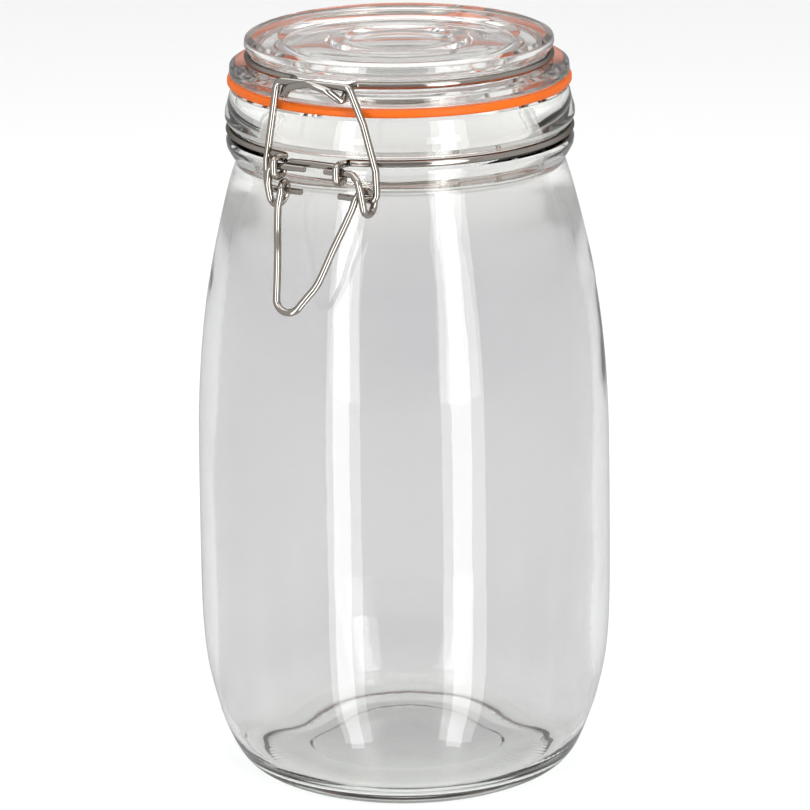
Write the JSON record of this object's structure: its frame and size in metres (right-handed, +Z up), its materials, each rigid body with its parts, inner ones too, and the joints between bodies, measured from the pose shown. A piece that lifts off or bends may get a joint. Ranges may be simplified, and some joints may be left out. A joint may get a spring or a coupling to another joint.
{
  "type": "clip-top canning jar",
  "caption": "Tall barrel-shaped clear glass canning jar, its hinged glass lid held shut on an orange rubber seal by a wire closure with a swinging lever.",
  "frame": {"origin": "centre of the bounding box's base, on the surface that the jar stands on; the jar's own axis is 3.8 mm behind it, at y = +0.0038, because the closure stands out in front", "axes": "+Z up along the jar's axis, -Y towards the closure's lever, +Y towards the lid's hinge, +X to the right as one faces the closure"},
  "size_m": [0.1168, 0.125, 0.2109],
  "materials": {
    "clear_glass": "clear, polished",
    "lid_glass_clear": "clear, pressed",
    "orange_rubber": "smooth satin",
    "bright_steel": "bright drawn wire"
  },
  "bodies": {
    "jar": {"jar_glass": "clear_glass", "neck_wire": "bright_steel"},
    "lid": {"lid_glass": "lid_glass_clear", "lid_wire": "bright_steel", "seal_ring": "orange_rubber"},
    "lever": {"lever_wire": "bright_steel"},
    "bail": {"bail_wire": "bright_steel"}
  },
  "joints": [
    {"name": "lid_hinge", "type": "hinge", "parent": "jar", "child": "lid", "pos_m": [0, 0.0552, 0.2027], "axis": [-1, 0, 0], "range_deg": [0, 110]},
    {"name": "lever_hinge", "type": "hinge", "parent": "jar", "child": "lever", "pos_m": [0, -0.0473, 0.183], "axis": [-1, 0, 0], "range_deg": [0, 105]},
    {"name": "bail_hinge", "type": "hinge", "parent": "lever", "child": "bail", "pos_m": [0, -0.0456, 0.1761], "axis": [-1, 0, 0], "range_deg": [-80, 0]}
  ],
  "couplings": [
    {"joint": "bail_hinge", "follows": "lever_hinge", "ratio": -0.76}
  ]
}
